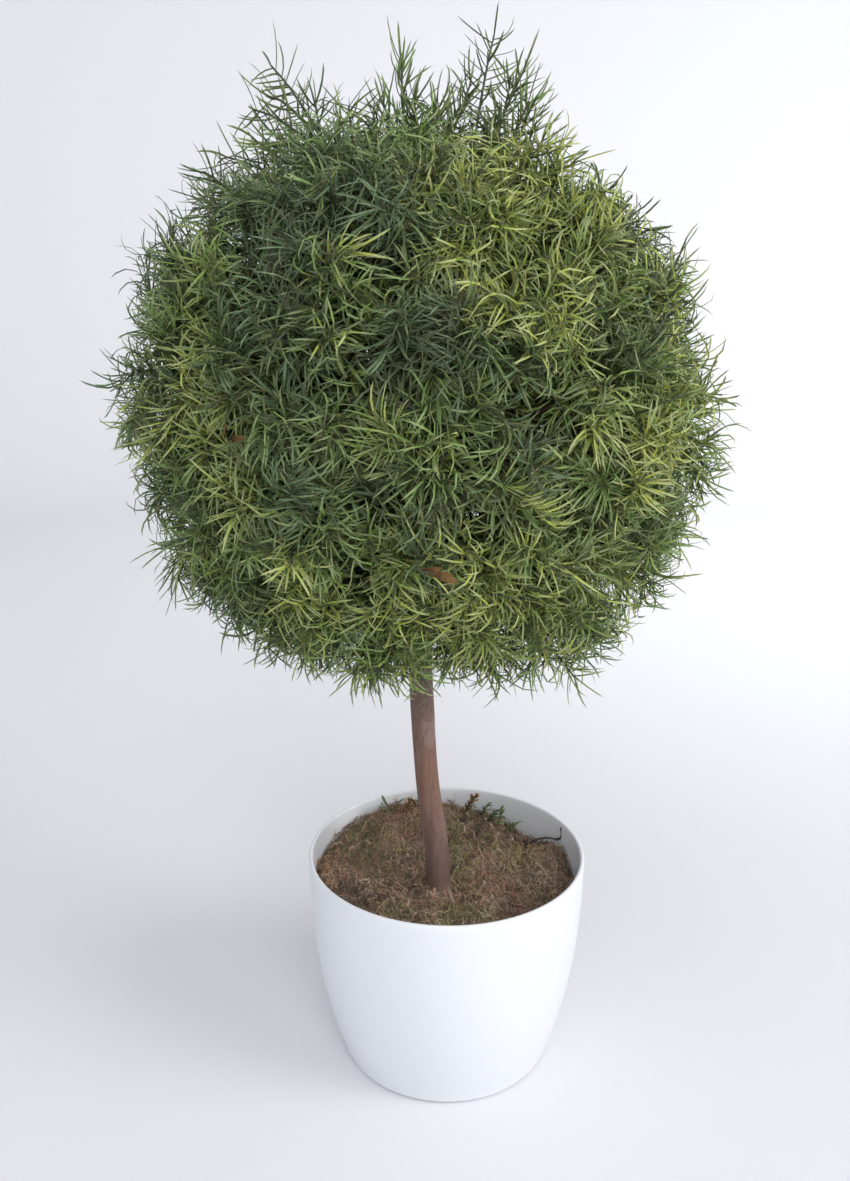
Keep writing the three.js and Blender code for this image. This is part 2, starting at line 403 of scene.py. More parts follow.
def moss_points():
    """Rows from the stem out to the wall on top, where the edge turns down, and back underneath."""
    shares = np.linspace(0, 1, MOSS_RINGS)
    top = np.array([moss_row(share, 0, moss_height) for share in shares])
    top[:, :, 2] -= MOSS_TURN * np.maximum(0, shares * 20 - 19)[:, None]
    under = [moss_row(share, MOSS_DEPTH, lambda x, y: moss_low.z + 0.5 * MM) for share in (1, 0.5, 0)]
    return np.concatenate([top, under, top[:1]])


def matted_moss(shade):
    """Brown, with olive and rust cushions, each crossed by dark and pale threads."""
    patch = shade.grain(46, detail=4)
    other = shade.grain(75, detail=4, stretch=(1, 1.1, 1))
    thread = shade.grain(520, detail=4)
    colour = thread.between((0.055, 0.040, 0.030), (0.330, 0.240, 0.170))
    olive = thread.between((0.055, 0.050, 0.028), (0.280, 0.245, 0.125))
    rust = thread.between((0.080, 0.046, 0.032), (0.420, 0.255, 0.165))
    colour = patch.step(0.48, 0.60).between(colour, olive)
    colour = other.step(0.54, 0.64).between(colour, rust)
    return {
        "Base Color": colour,
        "Roughness": 0.85 + 0.1 * thread,
        "Normal": thread.relief(1.2 * MM, 0.9),
    }


moss_finish = finish_with("matted_moss", {"Specular IOR Level": 0.2}, matted_moss)
moss_rows = moss_points()
moss_faces = [ring_faces(len(moss_rows), MOSS_SIDES)[:, ::-1]]
pad = mesh_piece("moss_pad", moss_rows.reshape(-1, 3), moss_faces, [moss_finish])
weld(pad)
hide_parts("moss")

# The moss's strands: thousands of thin stems that lie loose on the pad in flat curls. About a third
# have short side branches in two rows, like tiny ferns. They are dry, so few are still olive.

STRANDS = 5600
STRAND_STEPS = 5
STRAND_LENGTH = (4 * MM, 11 * MM)
STRAND_WIDTH = (0.24 * MM, 0.48 * MM)
FEATHERED = 0.35  # share of the strands that have side branches
BRANCHES = 7  # on each side
BRANCH_LENGTH = 1.7 * MM
# The tones of the strands: four browns and then three greens.
STRAND_TONES = {
    "dark_strand": (0.092, 0.066, 0.050),
    "brown_strand": (0.240, 0.160, 0.115),
    "rust_strand": (0.390, 0.232, 0.155),
    "straw_strand": (0.470, 0.365, 0.250),
    "olive_strand": (0.190, 0.165, 0.080),
    "yellow_strand": (0.330, 0.270, 0.120),
    "green_strand": (0.120, 0.118, 0.060),
}

# A draw from 0 to 1 picks each strand's brown and its green: where the later ones of each start.
BROWN_DRAWS = (0.20, 0.52, 0.80)
GREEN_DRAWS = (0.40, 0.62)

# Where the strands are mostly of one tone: which, its place from the pot's middle and its width in mm.
# The two dark_strand places are painted shadow, the one at (13, 31) in the hollow behind the stem.
MOSS_PLACES = [
    ("dark_strand", 13, 31, 12), ("rust_strand", 24, -8, 14), ("rust_strand", -22, 38, 15),
    ("rust_strand", -62, 4, 10), ("olive_strand", -44, 14, 12), ("straw_strand", 52, 2, 13),
    ("dark_strand", -40, -22, 10), ("straw_strand", 4, -44, 10), ("yellow_strand", 40, 18, 9),
    ("straw_strand", 22, -20, 9),
]


def unit(vectors):
    """The vectors at length 1."""
    return vectors / np.maximum(np.linalg.norm(vectors, axis=-1, keepdims=True), 1e-12)


def moss_strand_points(chance):
    """Middle lines of the strands, as (strand, step, xyz), each lying on the pad in a loose curl."""
    count = STRANDS
    radius = pot_inside(moss_rim) * np.sqrt(chance.random(count)) * 0.985
    bearing = chance.random(count) * tau
    x = radius * np.cos(bearing)
    y = radius * np.sin(bearing)
    facing = chance.random(count) * tau
    curl = chance.normal(0, 1.9, count)
    length = chance.uniform(*STRAND_LENGTH, count)
    hump = chance.gamma(1.6, 1.0, count) * MM
    line = np.zeros((count, STRAND_STEPS, 3))
    step = length / (STRAND_STEPS - 1)
    limit = pot_inside(moss_high.z) - 0.6 * MM
    for number in range(STRAND_STEPS):
        for strand in range(count):
            px, py = x[strand], y[strand]
            reach = (px * px + py * py) ** 0.5
            if reach > limit:
                px, py = px * limit / reach, py * limit / reach
            line[strand, number] = (px, py, moss_height(px, py))
        share = number / (STRAND_STEPS - 1)
        line[:, number, 2] += 0.3 * MM + hump * sin(pi * share)
        facing += curl * 0.45 + chance.normal(0, 0.25, count)
        x = x + step * np.cos(facing)
        y = y + step * np.sin(facing)
    return line


def moss_strands():
    """Each strand is a ribbon, and each of its side branches a thin triangle."""
    chance = np.random.default_rng(41)
    line = moss_strand_points(chance)
    count = len(line)
    along = unit(np.gradient(line, axis=1))
    tilt = chance.normal(0, 0.6, (count, 1, 1))
    up = np.array([0, 0, 1.0])
    across = unit(np.cross(along, up))
    across = across * np.cos(tilt) + up * np.sin(tilt)
    taper = np.linspace(1, 0.35, STRAND_STEPS)[None, :, None]
    half = chance.uniform(*STRAND_WIDTH, (count, 1, 1)) / 2 * taper
    ribbon = np.stack([line - across * half, line + across * half], axis=2)
    places = np.arange(count)[:, None] * STRAND_STEPS * 2 + np.arange(STRAND_STEPS - 1)[None, :] * 2
    quads = np.stack([places, places + 1, places + 3, places + 2], axis=-1).reshape(-1, 4)
    feathered = chance.random(count) < FEATHERED
    barbs = []
    for part in np.linspace(0.1, 0.95, BRANCHES):
        place = part * (STRAND_STEPS - 1)
        low = int(place)
        spot = line[:, low] + (line[:, min(low + 1, STRAND_STEPS - 1)] - line[:, low]) * (place - low)
        direction, sideways = along[:, low], across[:, low]
        for side in (-1, 1):
            size = BRANCH_LENGTH * (1.1 - 0.6 * part) * chance.uniform(0.6, 1.2, (count, 1))
            rise = chance.normal(0.1, 0.3, (count, 1)) * up
            end = spot + size * unit(sideways * side + direction * 0.9 + rise)
            root = direction * 0.28 * MM
            barbs.append(np.stack([spot - root, spot + root, end], axis=1)[feathered])
    barbs = np.concatenate(barbs)
    barb_faces = count * STRAND_STEPS * 2 + np.arange(len(barbs) * 3).reshape(-1, 3)
    points = np.concatenate([ribbon.reshape(-1, 3), barbs.reshape(-1, 3)])
    middle = line[:, STRAND_STEPS // 2]
    patch = np.array([noise.noise(Vector((p[0] * 46, p[1] * 46, 3))) for p in middle])
    pick = chance.random(count)
    brown = np.searchsorted(BROWN_DRAWS, pick, side="right")
    green = len(BROWN_DRAWS) + 1 + np.searchsorted(GREEN_DRAWS, pick, side="right")
    still_green = patch + chance.normal(0, 0.18, count) > 0.20
    tone = np.where(still_green & (pick < 0.85), green, brown)
    for colour, x, y, width in MOSS_PLACES:
        near = np.exp(-((middle[:, 0] - x * MM) ** 2 + (middle[:, 1] - y * MM) ** 2) / (width * MM) ** 2)
        tone = np.where(chance.random(count) < near * 0.75, list(STRAND_TONES).index(colour), tone)
    tones = np.concatenate([np.repeat(tone, STRAND_STEPS - 1), np.tile(tone[feathered], 2 * BRANCHES)])
    return points, [quads, barb_faces], tones


def plain_finish(name, colour, roughness, specular=0.5):
    """A material of one even colour."""
    sockets = {"Base Color": (*colour, 1), "Roughness": roughness, "Specular IOR Level": specular}
    return finish_with(name, sockets)


strand_finishes = [plain_finish(name, colour, 0.8, 0.25) for name, colour in STRAND_TONES.items()]
strand_points, strand_faces, strand_tones = moss_strands()
strands = mesh_piece("moss_strands", strand_points, strand_faces, strand_finishes, strand_tones)

# The ball's framework: wired brown boughs pushed into the stem's upper end. Each bough forks into
# twigs, and each twig carries a clump of thin sprays, which arch out on all sides as in a fountain.

BALL_MIDDLE = np.array([-14.3, 0, 331]) * MM
BOUGHS = 38
TWIGS = 165
BOUGH_RADII = (1.9 * MM, 1.3 * MM)  # where it starts and where it ends
TWIG_RADII = (1.2 * MM, 0.9 * MM)
BOUGH_REACH = 58 * MM  # from the ball's middle
TWIG_REACH = 88 * MM
# Layers of sprays: how many, how deep they end, how many needles each spray has, and how much wider
# these are made, so that the few inner ones close the ball to the light.
LAYERS = {
    "outer": (1540, 5 * MM, 24, 1.0),
    "middle": (580, 14 * MM, 17, 1.25),
    "inner": (440, 28 * MM, 14, 1.8),
    "core": (420, 48 * MM, 14, 3.2),
}
CLUMP_SIZE = 2 / TWIGS**0.5  # radians from a clump's middle to its edge
CLUMP_DROP = 5 * MM  # how much deeper the sprays at a clump's edge end than those in its middle
ARCH = 27 * MM  # how far a spray runs on from its bend
TILT = (0.72, 0.35)  # how far a spray tilts in the middle of its clump, and how much more at its edge
STEM_ROOM = 15 * MM  # kept free of spray tips all round the bare stem below the ball
GOLDEN = pi * (3 - 5**0.5)  # the turn from one to the next in an even spiral
SKEW = np.array([0.31, 0.54, 0.78])  # no limb runs exactly this way, so it serves as a guide

# Where the growth is loose and light shows through: a direction, and how wide it is in radians.
LOOSE = [((-0.60, 0.10, 0.79), 0.36), ((0.33, 0.10, 0.94), 0.28)]
LOOSE_KEPT = 0.22  # share of the sprays that grow there

# Where the ball ends short of its even shape, or past it: a direction, its width, and how far in mm.
TRIM = [
    ((-0.98, -0.10, -0.14), 0.30, 15), ((-0.87, 0, 0.50), 0.22, -4), ((0.01, -0.96, 0.27), 0.10, 7),
    ((0.34, -0.93, 0.12), 0.10, 6), ((-0.10, -0.97, -0.22), 0.10, 6), ((0.50, 0, 0.86), 0.24, 10),
    ((0, -0.72, 0.70), 0.12, 5), ((-0.08, -0.10, 0.99), 0.20, 5), ((0.87, 0, 0.50), 0.18, -8),
    ((0.97, 0, 0.24), 0.10, 5), ((0.97, 0, -0.22), 0.16, 4), ((0.84, 0, -0.54), 0.16, -6),
    ((0.71, 0, -0.71), 0.12, -4), ((0.50, 0, -0.87), 0.20, 4), ((0, -0.20, -1), 0.65, 7),
]

# The foliage solids, whose outer faces the sprays end under.
masses = [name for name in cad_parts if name.startswith("foliage_")]
mass_tree, mass_owners = tree_of(*masses)


def spread(count, chance, jitter):
    """Directions spread evenly over a sphere, each one moved a little."""
    number = np.arange(count) + 0.5
    height = 1 - 2 * number / count
    bearing = number * GOLDEN
    flat = np.sqrt(1 - height**2)
    even = np.stack([flat * np.cos(bearing), flat * np.sin(bearing), height], axis=1)
    return unit(even + chance.normal(0, jitter, (count, 3)))


def ball_reach(directions):
    """How far the masses reach from the ball's middle in each direction, and the mass met there."""
    reach = np.zeros(len(directions))
    owner = []
    middle = Vector(BALL_MIDDLE)
    for number, direction in enumerate(directions):
        out = Vector(direction)
        hit, _, face, _ = mass_tree.ray_cast(middle + out * FAR, -out)
        if hit is None:  # it slipped through a seam between two faces
            hit, _, face, _ = mass_tree.find_nearest(middle + out * 140 * MM)
        reach[number] = (hit - middle).length
        owner.append(mass_owners[face])
    return reach, np.array(owner)


def swell(directions, places):
    """What a table of places adds in each direction: each place has a middle, a width and a height."""
    total = np.zeros(len(directions))
    for middle, width, height in places:
        away = np.arccos(np.clip(directions @ unit(np.array(middle)), -1, 1))
        total += height * np.exp(-((away / width) ** 2))
    return total


def nearest(directions, others):
    """Which of the others each direction is closest to."""
    return np.argmax(directions @ others.T, axis=1)


def curve(start, bend, end, share):
    """Points of quadratic curves, one share for each."""
    share = share[..., None]
    return start * (1 - share) ** 2 + 2 * bend * share * (1 - share) + end * share**2


def heading(start, bend, end, share):
    """The way each curve runs at its share."""
    share = share[..., None]
    return unit((bend - start) * (1 - share) + (end - bend) * share)


def flatten(vectors, normals):
    """What is left of vectors once their part along the normals is taken away."""
    return vectors - normals * np.sum(vectors * normals, axis=1, keepdims=True)


def grow_ball():
    """The boughs, twigs and sprays, each as (starts, bends, ends), and each spray's clump and layer."""
    chance = np.random.default_rng(7)
    bough_way = spread(BOUGHS, chance, jitter=0.10)
    twig_way = spread(TWIGS, chance, jitter=0.07)
    heights = BALL_MIDDLE[2] + bough_way[:, 2] * 62 * MM - 22 * MM  # a little lower than the boughs end
    heights = np.clip(heights, stem_low.z, stem_high.z - 4 * MM)
    bough_start = np.array([stem_section(height)[0] for height in heights])
    bough_end = BALL_MIDDLE + bough_way * BOUGH_REACH
    bough_bend = (bough_start + bough_end) / 2 + np.array([0, 0, 6 * MM])
    parent = nearest(twig_way, bough_way)
    twig_start = bough_end[parent]
    twig_end = BALL_MIDDLE + twig_way * (TWIG_REACH + chance.normal(0, 4 * MM, (TWIGS, 1)))
    twig_bend = (twig_start + twig_end) / 2 + unit(twig_start - BALL_MIDDLE) * 5 * MM
    grown = []
    for number, (layer, (count, depth, _, _)) in enumerate(LAYERS.items()):
        way = spread(count, chance, jitter=0.035)
        if layer in ("outer", "middle", "inner"):
            loose = np.any([way @ unit(np.array(middle)) > cos(width) for middle, width in LOOSE], axis=0)
            way = way[~loose | (chance.random(count) < LOOSE_KEPT)]
        clump = nearest(way, twig_way)
        aside = flatten(way - twig_way[clump], way)
        away = np.linalg.norm(aside, axis=1) / CLUMP_SIZE
        loosen = 0.09 if layer in ("outer", "middle") else 2.0  # deep inside, sprays lie any way
        aside = unit(flatten(aside + chance.normal(0, loosen, way.shape), way))
        tilt = np.clip(TILT[0] + TILT[1] * away + chance.normal(0, 0.30, len(way)), 0, 1.4)[:, None]
        along = way * np.cos(tilt) + aside * np.sin(tilt)
        reach, _ = ball_reach(way)
        inset = depth + CLUMP_DROP * away**2 + chance.normal(0, 4 * MM, len(way))
        inset += swell(way, TRIM) * MM
        end = BALL_MIDDLE + way * (reach - inset)[:, None]
        start = twig_end[clump] if layer == "outer" else (twig_start[clump] + twig_end[clump]) / 2
        grown.append((start, end - along * ARCH, end, clump, np.full(len(way), number)))
    grown = [np.concatenate(part) for part in zip(*grown)]
    kept = clear_of_stem(grown[2])
    *sprays, clumps, layers = (part[kept] for part in grown)
    boughs = (bough_start, bough_bend, bough_end)
    twigs = (twig_start, twig_bend, twig_end)
    return boughs, twigs, sprays, clumps, layers


def clear_of_stem(points):
    """True for points that leave the bare stem its room, and for all but the ball's low ones."""
    foot = stem_section(BALL_MIDDLE[2] - 110 * MM)[0]  # where it enters the ball
    gap = np.hypot(points[:, 0] - foot.x, points[:, 1] - foot.y)
    return (gap > STEM_ROOM) | (points[:, 2] > BALL_MIDDLE[2] - 40 * MM)


def limbs(curves, radii, sides, steps):
    """Points and faces of limbs along curves, which taper from the first radius to the second."""
    base, tip = radii
    start, bend, end = (part[:, None, :] for part in curves)
    share = np.broadcast_to(np.linspace(0, 1, steps), (len(curves[0]), steps))
    line = curve(start, bend, end, share)
    along = heading(start, bend, end, share)
    side = unit(np.cross(along, SKEW))
    other = np.cross(along, side)
    angle = np.linspace(0, tau, sides, endpoint=False)[None, None, :, None]
    radius = (base + (tip - base) * share)[:, :, None, None]
    around = side[:, :, None, :] * np.cos(angle) + other[:, :, None, :] * np.sin(angle)
    rings = line[:, :, None, :] + radius * around
    each = steps * sides
    first = (np.arange(len(line)) * each)[:, None]
    faces = ring_faces(steps, sides)[None, :, :] + first[:, :, None]
    cap = np.arange(sides)[None, :] + each - sides + first
    return rings.reshape(-1, 3), [faces.reshape(-1, 4), cap]


boughs, twigs, sprays, spray_clump, spray_layer = grow_ball()
bough_piece = mesh_piece("boughs", *limbs(boughs, BOUGH_RADII, sides=10, steps=10), [bark_finish])
twig_piece = mesh_piece("twigs", *limbs(twigs, TWIG_RADII, sides=7, steps=7), [bark_finish])

# The sprays: thin green plastic stems, moulded in one go with the soft needles all round them. Each
# needle is darkest at its root, partly its own colour and partly painted shade deep among the needles,
# and palest at its tip, partly painted sheen. The tones differ from clump to clump.

CLOTHED = 34 * MM  # how much of a spray's outer end has needles
SPRAY_RADII = (0.75 * MM, 0.45 * MM)
NEEDLE_STATIONS = np.array([0, 0.27, 0.54, 0.80, 1.0])  # shares of a needle's length
NEEDLE_WIDTHS = np.array([0.80, 1.0, 1.0, 0.88])  # shares of its width at all but the last, its point

# How needles stand on a stem, in radians: their lean at its tip and how much more further down, how far
# each bends on outwards and how much that varies, and how far the needles of a stem sweep aside together.
BALL_HABIT = {"length": (13 * MM, 18.5 * MM), "width": (0.64 * MM, 0.86 * MM),
              "tip_lean": 0.32, "more_lean": 0.55, "curl": 1.25, "vary": 0.4, "sweep": 0.48}
SPIRE_HABIT = {"length": (13 * MM, 20 * MM), "width": (0.82 * MM, 1.06 * MM),
               "tip_lean": 0.74, "more_lean": 0.50, "curl": -0.3, "vary": 0.15, "sweep": 0.1}

# Linear colours of each tone's root, middle and tip: the darker roots are partly painted shade and the
# paler tips partly painted sheen.
TONES = {
    "lime": ((0.220, 0.240, 0.066), (0.356, 0.408, 0.094), (0.390, 0.425, 0.178)),
    "fresh": ((0.158, 0.182, 0.052), (0.226, 0.304, 0.076), (0.286, 0.336, 0.142)),
    "leaf": ((0.113, 0.137, 0.045), (0.142, 0.222, 0.063), (0.204, 0.278, 0.112)),
    "grey": ((0.109, 0.116, 0.050), (0.128, 0.170, 0.063), (0.186, 0.230, 0.108)),
    "blue": ((0.081, 0.101, 0.047), (0.088, 0.144, 0.065), (0.129, 0.188, 0.099)),
    "dark": ((0.077, 0.081, 0.043), (0.080, 0.106, 0.052), (0.112, 0.143, 0.076)),
    "rust": ((0.090, 0.048, 0.018), (0.160, 0.086, 0.028), (0.200, 0.112, 0.038)),
}
# The pale tone of the sprays deep inside is partly painted light that lifts their shade and partly the
# paler colour of older inner needles.
INNER_TONE = 1  # the tone of all sprays deep inside
DARKEST = 5  # the tones up to here run from pale to dark; the last is that of dead leaves
STRAY = 0.18  # share of the needles that may be one tone off from the rest of their spray


def needle_points(root, axis, out, size, width, lean, bend, sweep, twist):
    """Grooved needles as (needle, point, xyz): each leans from the axis, then bends and sweeps aside."""
    middles = ((NEEDLE_STATIONS[1:] + NEEDLE_STATIONS[:-1]) / 2)[:, None]
    lengths = np.diff(NEEDLE_STATIONS)[:, None]
    angle = lean[:, None, None] + bend[:, None, None] * middles
    way = unit(axis[:, None] * np.cos(angle) + out[:, None] * np.sin(angle) + sweep[:, None] * middles * 2)
    steps = np.cumsum(way * lengths * size[:, None, None], axis=1)
    body = root[:, None] + np.concatenate([np.zeros((len(root), 1, 3)), steps[:, :-1]], axis=1)
    side = np.cross(axis, out)[:, None]
    side = unit(side - way * np.sum(side * way, axis=2, keepdims=True))
    back = np.cross(side, way)
    twist = twist[:, None, None]
    across = side * np.cos(twist) + back * np.sin(twist)
    ridge = back * np.cos(twist) - side * np.sin(twist)
    half = (width[:, None] * NEEDLE_WIDTHS / 2)[..., None]
    sheet = np.stack([body - across * half, body + ridge * half * 0.75, body + across * half], axis=2)
    return np.concatenate([sheet.reshape(len(root), -1, 3), root[:, None] + steps[:, -1:]], axis=1)


NEEDLE_QUADS = np.array([
    [3 * row + column, 3 * row + column + 1, 3 * row + column + 4, 3 * row + column + 3]
    for row in range(3) for column in range(2)
])
NEEDLE_TIPS = np.array([[9, 10, 12], [10, 11, 12]])
QUAD_BANDS = np.array([0, 0, 1, 1, 2, 2])  # root, middle and tip


def clothe(curves, tones, bare, count, wide, habit, chance):
    """Needles along each stem and their tones: so many to a stem, and none on the bare share of it."""
    start, bend, end = (np.repeat(part, count, axis=0) for part in curves)
    number = np.concatenate([np.arange(each) for each in count])
    down = number / (np.repeat(count, count) - 1)
    share = 1 - down**0.9 * (1 - np.repeat(bare, count))
    root = curve(start, bend, end, share)
    axis = heading(start, bend, end, share)
    side = unit(np.cross(axis, SKEW))
    other = np.cross(axis, side)
    first = np.repeat(chance.random(len(curves[0])) * tau, count)
    bearing = (first + number * GOLDEN + chance.normal(0, 0.25, len(number)))[:, None]
    out = side * np.cos(bearing) + other * np.sin(bearing)
    total = len(number)
    size = chance.uniform(*habit["length"], total)
    width = chance.uniform(*habit["width"], total) * np.repeat(wide, count)
    openness = np.repeat(chance.uniform(0.7, 1.25, len(curves[0])), count)
    lean = (habit["tip_lean"] + habit["more_lean"] * down**0.45) * openness + chance.normal(0, 0.12, total)
    curl = np.repeat(chance.normal(habit["curl"], habit["vary"], len(curves[0])), count)
    curl += chance.normal(0, 0.22, total)
    sweep = np.repeat(chance.normal(0, habit["sweep"], (len(curves[0]), 3)), count, axis=0)
    sweep += chance.normal(0, 0.14, (total, 3))
    twist = chance.normal(0, 0.5, total)
    points = needle_points(root, axis, out, size, width, lean, curl, sweep, twist)
    stray = chance.random(total) < STRAY
    tone = np.repeat(tones, count)
    strayed = np.clip(tone + chance.integers(-1, 2, total), 0, DARKEST)
    return points, np.where(stray & (tone <= DARKEST), strayed, tone)


needle_finishes = [
    plain_finish(f"{tone}_{band}", colour, 0.5, 0.16)
    for tone, colours in TONES.items()
    for band, colour in zip(("root", "middle", "tip"), colours)
]


def needle_piece(name, points, tone):
    """Joins needles into one piece with the three finishes of each tone."""
    first = (np.arange(len(points)) * points.shape[1])[:, None, None]
    quads = (NEEDLE_QUADS[None] + first).reshape(-1, 4)
    tips = (NEEDLE_TIPS[None] + first).reshape(-1, 3)
    bands = (tone[:, None] * 3 + QUAD_BANDS[None]).ravel()
    ends = np.repeat(tone * 3 + 2, 2)
    tones = np.concatenate([bands, ends])
    return mesh_piece(name, points.reshape(-1, 3), [quads, tips], needle_finishes, tones)


# Where the ball is paler or darker than the rest: a direction, how wide, and how many tones lighter.
# They are partly the clumps' own tones and partly painted light and painted shade of the lit ball.
PATCHES = [
    ((0.28, -0.52, 0.81), 0.22, 5.5), ((0.50, -0.58, 0.64), 0.20, 4.0),
    ((0.34, -0.84, 0.43), 0.14, 3.2), ((0.24, -0.83, 0.51), 0.15, 2.6),
    ((0.13, -0.87, 0.48), 0.13, 2.4), ((-0.16, -0.88, 0.44), 0.18, 4.0),
    ((0.62, -0.78, 0.00), 0.17, 3.6), ((0.85, -0.48, 0.20), 0.24, 3.2),
    ((0.76, -0.65, 0.02), 0.16, 2.2), ((0.62, -0.72, 0.32), 0.16, -2.8),
    ((0.42, -0.88, -0.22), 0.12, 2.8), ((0.17, -0.92, -0.34), 0.18, 2.0),
    ((0.18, -0.97, 0.13), 0.12, 2.2), ((0.17, -0.98, -0.03), 0.13, 2.0),
    ((0.50, -0.68, -0.53), 0.28, 3.4), ((0, -0.99, 0.11), 0.09, 1.2),
    ((-0.17, -0.98, 0.05), 0.09, 1.3), ((-0.26, -0.95, 0.15), 0.10, 1.2),
    ((-0.70, -0.66, 0.26), 0.20, 1.4), ((-0.76, -0.64, 0.10), 0.16, 1.8),
    ((-0.66, -0.75, 0.02), 0.24, 1.3), ((-0.52, -0.85, -0.02), 0.13, 1.5),
    ((-0.65, -0.72, -0.22), 0.25, 1.2), ((-0.44, -0.83, -0.34), 0.18, 1.8),
    ((-0.17, -0.87, -0.47), 0.18, 2.4), ((0, -0.75, -0.66), 0.40, 1.3),
    ((-0.25, -0.68, 0.69), 0.22, -1.5), ((0, -0.72, 0.70), 0.16, -2.4),
    ((0.02, -0.95, 0.29), 0.16, -3.4), ((0.02, -0.91, 0.42), 0.10, -2.2),
    ((0.15, -0.93, 0.32), 0.12, -2.0), ((-0.12, -0.97, 0.22), 0.13, -1.4),
    ((0.34, -0.93, 0.12), 0.12, -3.4), ((-0.51, -0.85, 0.13), 0.13, -2.0),
    ((-0.47, -0.75, 0.47), 0.20, -1.8), ((-0.50, -0.20, 0.85), 0.40, -1.4),
    ((-0.10, -0.97, -0.22), 0.13, -2.2), ((0, -0.98, -0.16), 0.12, -3.0),
    ((-0.35, -0.93, -0.06), 0.14, -2.8), ((0.43, -0.86, -0.30), 0.14, -2.3),
    ((0.29, -0.95, -0.14), 0.11, -3.2), ((0.10, -0.99, 0.03), 0.10, -1.0),
]


def spray_tones(directions, clumps, chance):
    """The tone of each spray, from 0, the palest, to the darkest."""
    drift = np.array([noise.noise(Vector(d) * 2.6) for d in directions])
    # PATCHES add painted light and painted shade on top of the sprays' own tones.
    light = 1.1 * drift + swell(directions, PATCHES)
    light += chance.normal(0, 0.5, TWIGS)[clumps] + chance.normal(0, 0.95, len(directions))
    return np.clip(np.round(2.5 - light), 0, DARKEST).astype(int)


chance = np.random.default_rng(19)
spray_way = unit(sprays[2] - BALL_MIDDLE)
_, spray_mass = ball_reach(spray_way)
spray_tone = spray_tones(spray_way, spray_clump, chance)
middle = list(LAYERS).index("middle")
# The middle layer is one tone darker: painted shade, as it lies deeper in the ball.
spray_tone = np.where(spray_layer == middle, np.minimum(spray_tone + 1, DARKEST), spray_tone)
spray_tone = np.where(spray_layer > middle, INNER_TONE, spray_tone)
spray_length = sum(np.linalg.norm(sprays[part + 1] - sprays[part], axis=1) for part in (0, 1))
bare = np.clip(1 - CLOTHED / spray_length, 0.05, 0.6)
spray_needles = np.array([layer[2] for layer in LAYERS.values()])[spray_layer]
spray_wide = np.array([layer[3] for layer in LAYERS.values()])[spray_layer]
needles, needle_tone = clothe(sprays, spray_tone, bare, spray_needles, spray_wide, BALL_HABIT, chance)
needle_mass = np.repeat(spray_mass, spray_needles)

# The needles are joined into six pieces by where on the ball they are.
GROUPS = {
    "needles_low_front": ["foliage_low_front", "foliage_low_left", "foliage_low_right"],
    "needles_low_back": ["foliage_low_back_left", "foliage_low_back_right"],
    "needles_front": ["foliage_middle_front_right", "foliage_middle_front_left", "foliage_middle_left"],
    "needles_back": [
        "foliage_middle_right", "foliage_middle_back_right", "foliage_middle_back",
        "foliage_middle_back_left",
    ],
    "needles_high_front": ["foliage_high_front_left", "foliage_high_front_right", "foliage_high_left"],
    "needles_high_back": ["foliage_high_back", "foliage_high_right", "foliage_crown"],
}
for name, parts in GROUPS.items():
    chosen = np.isin(needle_mass, parts)
    piece = needle_piece(name, needles[chosen], needle_tone[chosen])
    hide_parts(*parts)

spray_stem_finish = plain_finish("spray_stem", (0.050, 0.070, 0.030), 0.5)
spray_limbs = limbs(sprays, SPRAY_RADII, sides=4, steps=4)
spray_stems = mesh_piece("spray_stems", *spray_limbs, [spray_stem_finish])

# The spires: three tufts of longer sprigs that stand out of the top of the ball. They are of the same
# plastic as the sprays, with needles on all sides, and thin, so light shows between them.

# The sprigs of each spire, in millimetres from its tip: how far to the right and below it each one
# leaves the ball, how far to the right and below it ends, how far it bows out, and how far behind.
SPRIGS = {
    "spire_left": [
        (26, 36, 3, 8, 3, 2), (16, 22, 2, 21, 2, -2), (23, 32, -4, 27, 1, -7), (19, 40, -6, 38, 1, 5),
        (15, 52, -16, 46, 2, -8), (8, 63, -25, 57, 1, 2), (24, 42, 23, 25, 0, -10),
        (37, 42, 36, 24, 0, 4), (12, 60, -4, 44, 0, 12), (0, 68, -26, 52, 1, -10),
        (30, 50, 4, 36, 0, 9),
    ],
    "spire_middle": [
        (3, 53, 1, 10, 0, 0), (-6, 47, -11, 32, -1, -7), (8, 55, 14, 38, 0, 7), (2, 50, -7, 26, -1, 5),
        (4, 50, 7, 27, 1, -5), (6, 52, 16, 30, 2, 2), (0, 52, -14, 36, -2, 3),
    ],
    "spire_right": [
        (-31, 57, -28, 38, -2, 4), (-30, 57, -15, 31, 2, -5), (-12, 63, -5, 11, -3, 2),
        (-6, 57, 3, 26, 3, 7), (-4, 61, 10, 38, 2, -5), (9, 63, 12, 46, 1, -8), (4, 66, 18, 52, 1, 8),
        (-8, 50, 7, 27, 2, -3), (-2, 62, 12, 38, 3, 1), (-38, 64, -20, 40, 3, 0),
        (-36, 66, -34, 50, 0, 6),
    ],
}
SPRIG_ROOT = 18 * MM  # how much deeper in the ball each one starts
SPRIG_RADII = (0.75 * MM, 0.4 * MM)
SPRIG_BARE = 0.12  # share of its stem without needles
SPRIG_SPACING = 1.5 * MM  # between one needle and the next


def grow_spire(node):
    """The sprigs of one spire, each from inside the ball out to its own tip."""
    points = np.array([vertex.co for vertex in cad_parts[node].data.vertices])
    tip = points[points[:, 2].argmax()]
    grown = []
    for foot_right, foot_below, end_right, end_below, bow, behind in SPRIGS[node]:
        foot = tip + np.array([foot_right, behind, -foot_below]) * MM
        end = tip + np.array([end_right, behind, -end_below]) * MM
        bend = (foot + end) / 2 + np.array([bow, 0, 0]) * MM
        grown.append((foot + unit(BALL_MIDDLE - foot) * SPRIG_ROOT, bend, end))
    return [np.array(part) for part in zip(*grown)]


